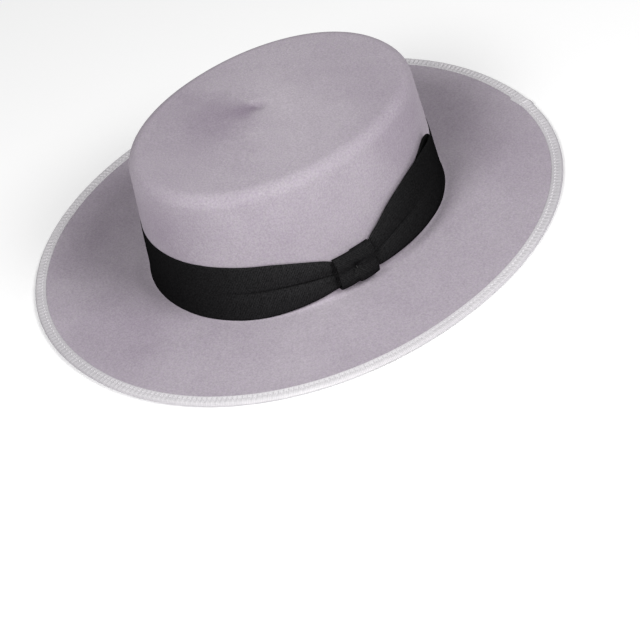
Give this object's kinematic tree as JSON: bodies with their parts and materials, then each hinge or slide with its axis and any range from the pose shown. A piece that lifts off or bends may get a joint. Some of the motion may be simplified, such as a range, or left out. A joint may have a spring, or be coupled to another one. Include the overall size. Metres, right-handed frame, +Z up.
{
  "type": "spanish riding hat",
  "caption": "Stiff felt riding hat with a wide flat brim, a low flat-topped crown, a ribbon-bound edge and a ribbon band tied in a one-loop bow at the wearer's left.",
  "frame": {"origin": "under the middle of the brim, on the plane that the brim rests on", "axes": "+Z up out of the crown; +Y from the front of the hat to its back, the longest way; +X towards the wearer's left, where the bow is"},
  "size_m": [0.3204, 0.3606, 0.0948],
  "materials": {
    "felt": "matt felt with a short brushed nap, mauve grey",
    "binding_ribbon": "white ribbon with a fine rib, sewn down with a row of small stitches",
    "band_ribbon": "black grosgrain ribbon, matt with a soft sheen on its folds"
  },
  "bodies": {
    "root": {"felt_body": "felt", "brim_binding": "binding_ribbon", "hat_band": "band_ribbon", "bow_loop": "band_ribbon", "bow_knot": "band_ribbon"}
  },
  "joints": []
}
